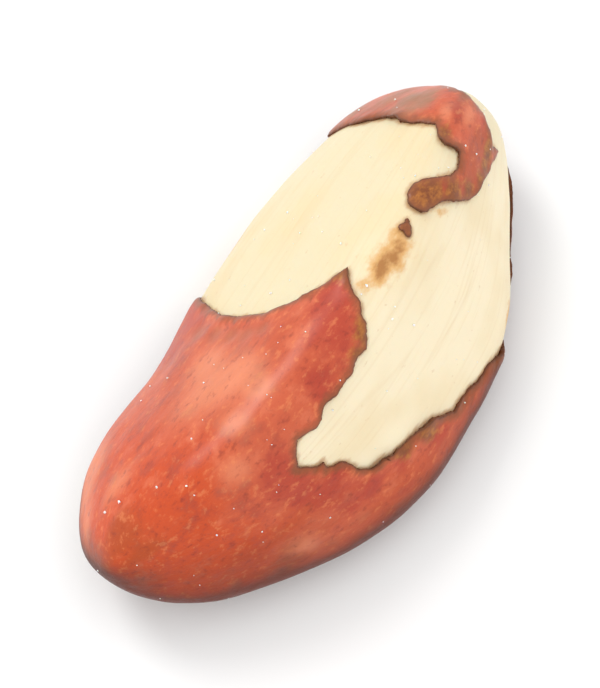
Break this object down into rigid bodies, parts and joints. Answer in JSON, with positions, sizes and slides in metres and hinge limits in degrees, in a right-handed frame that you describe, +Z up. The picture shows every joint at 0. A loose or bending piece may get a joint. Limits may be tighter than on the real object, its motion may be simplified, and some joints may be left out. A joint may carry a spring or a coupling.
{
  "type": "roasted salted brazil nut",
  "caption": "Shelled roasted brazil nut: a bowed, three-sided kernel with its brown skin torn away in one wide window, lying on a small flat spot.",
  "frame": {"origin": "under the middle of the nut, on the surface that it rests on", "axes": "+X along the nut, from its broad end to its narrow end; +Z up through the crest; the nut bows towards -Y"},
  "size_m": [0.0382, 0.0188, 0.0135],
  "materials": {
    "skin": "satin",
    "kernel": "satin",
    "salt": "satin"
  },
  "bodies": {
    "root": {"brazil_nut": "skin"}
  },
  "joints": []
}
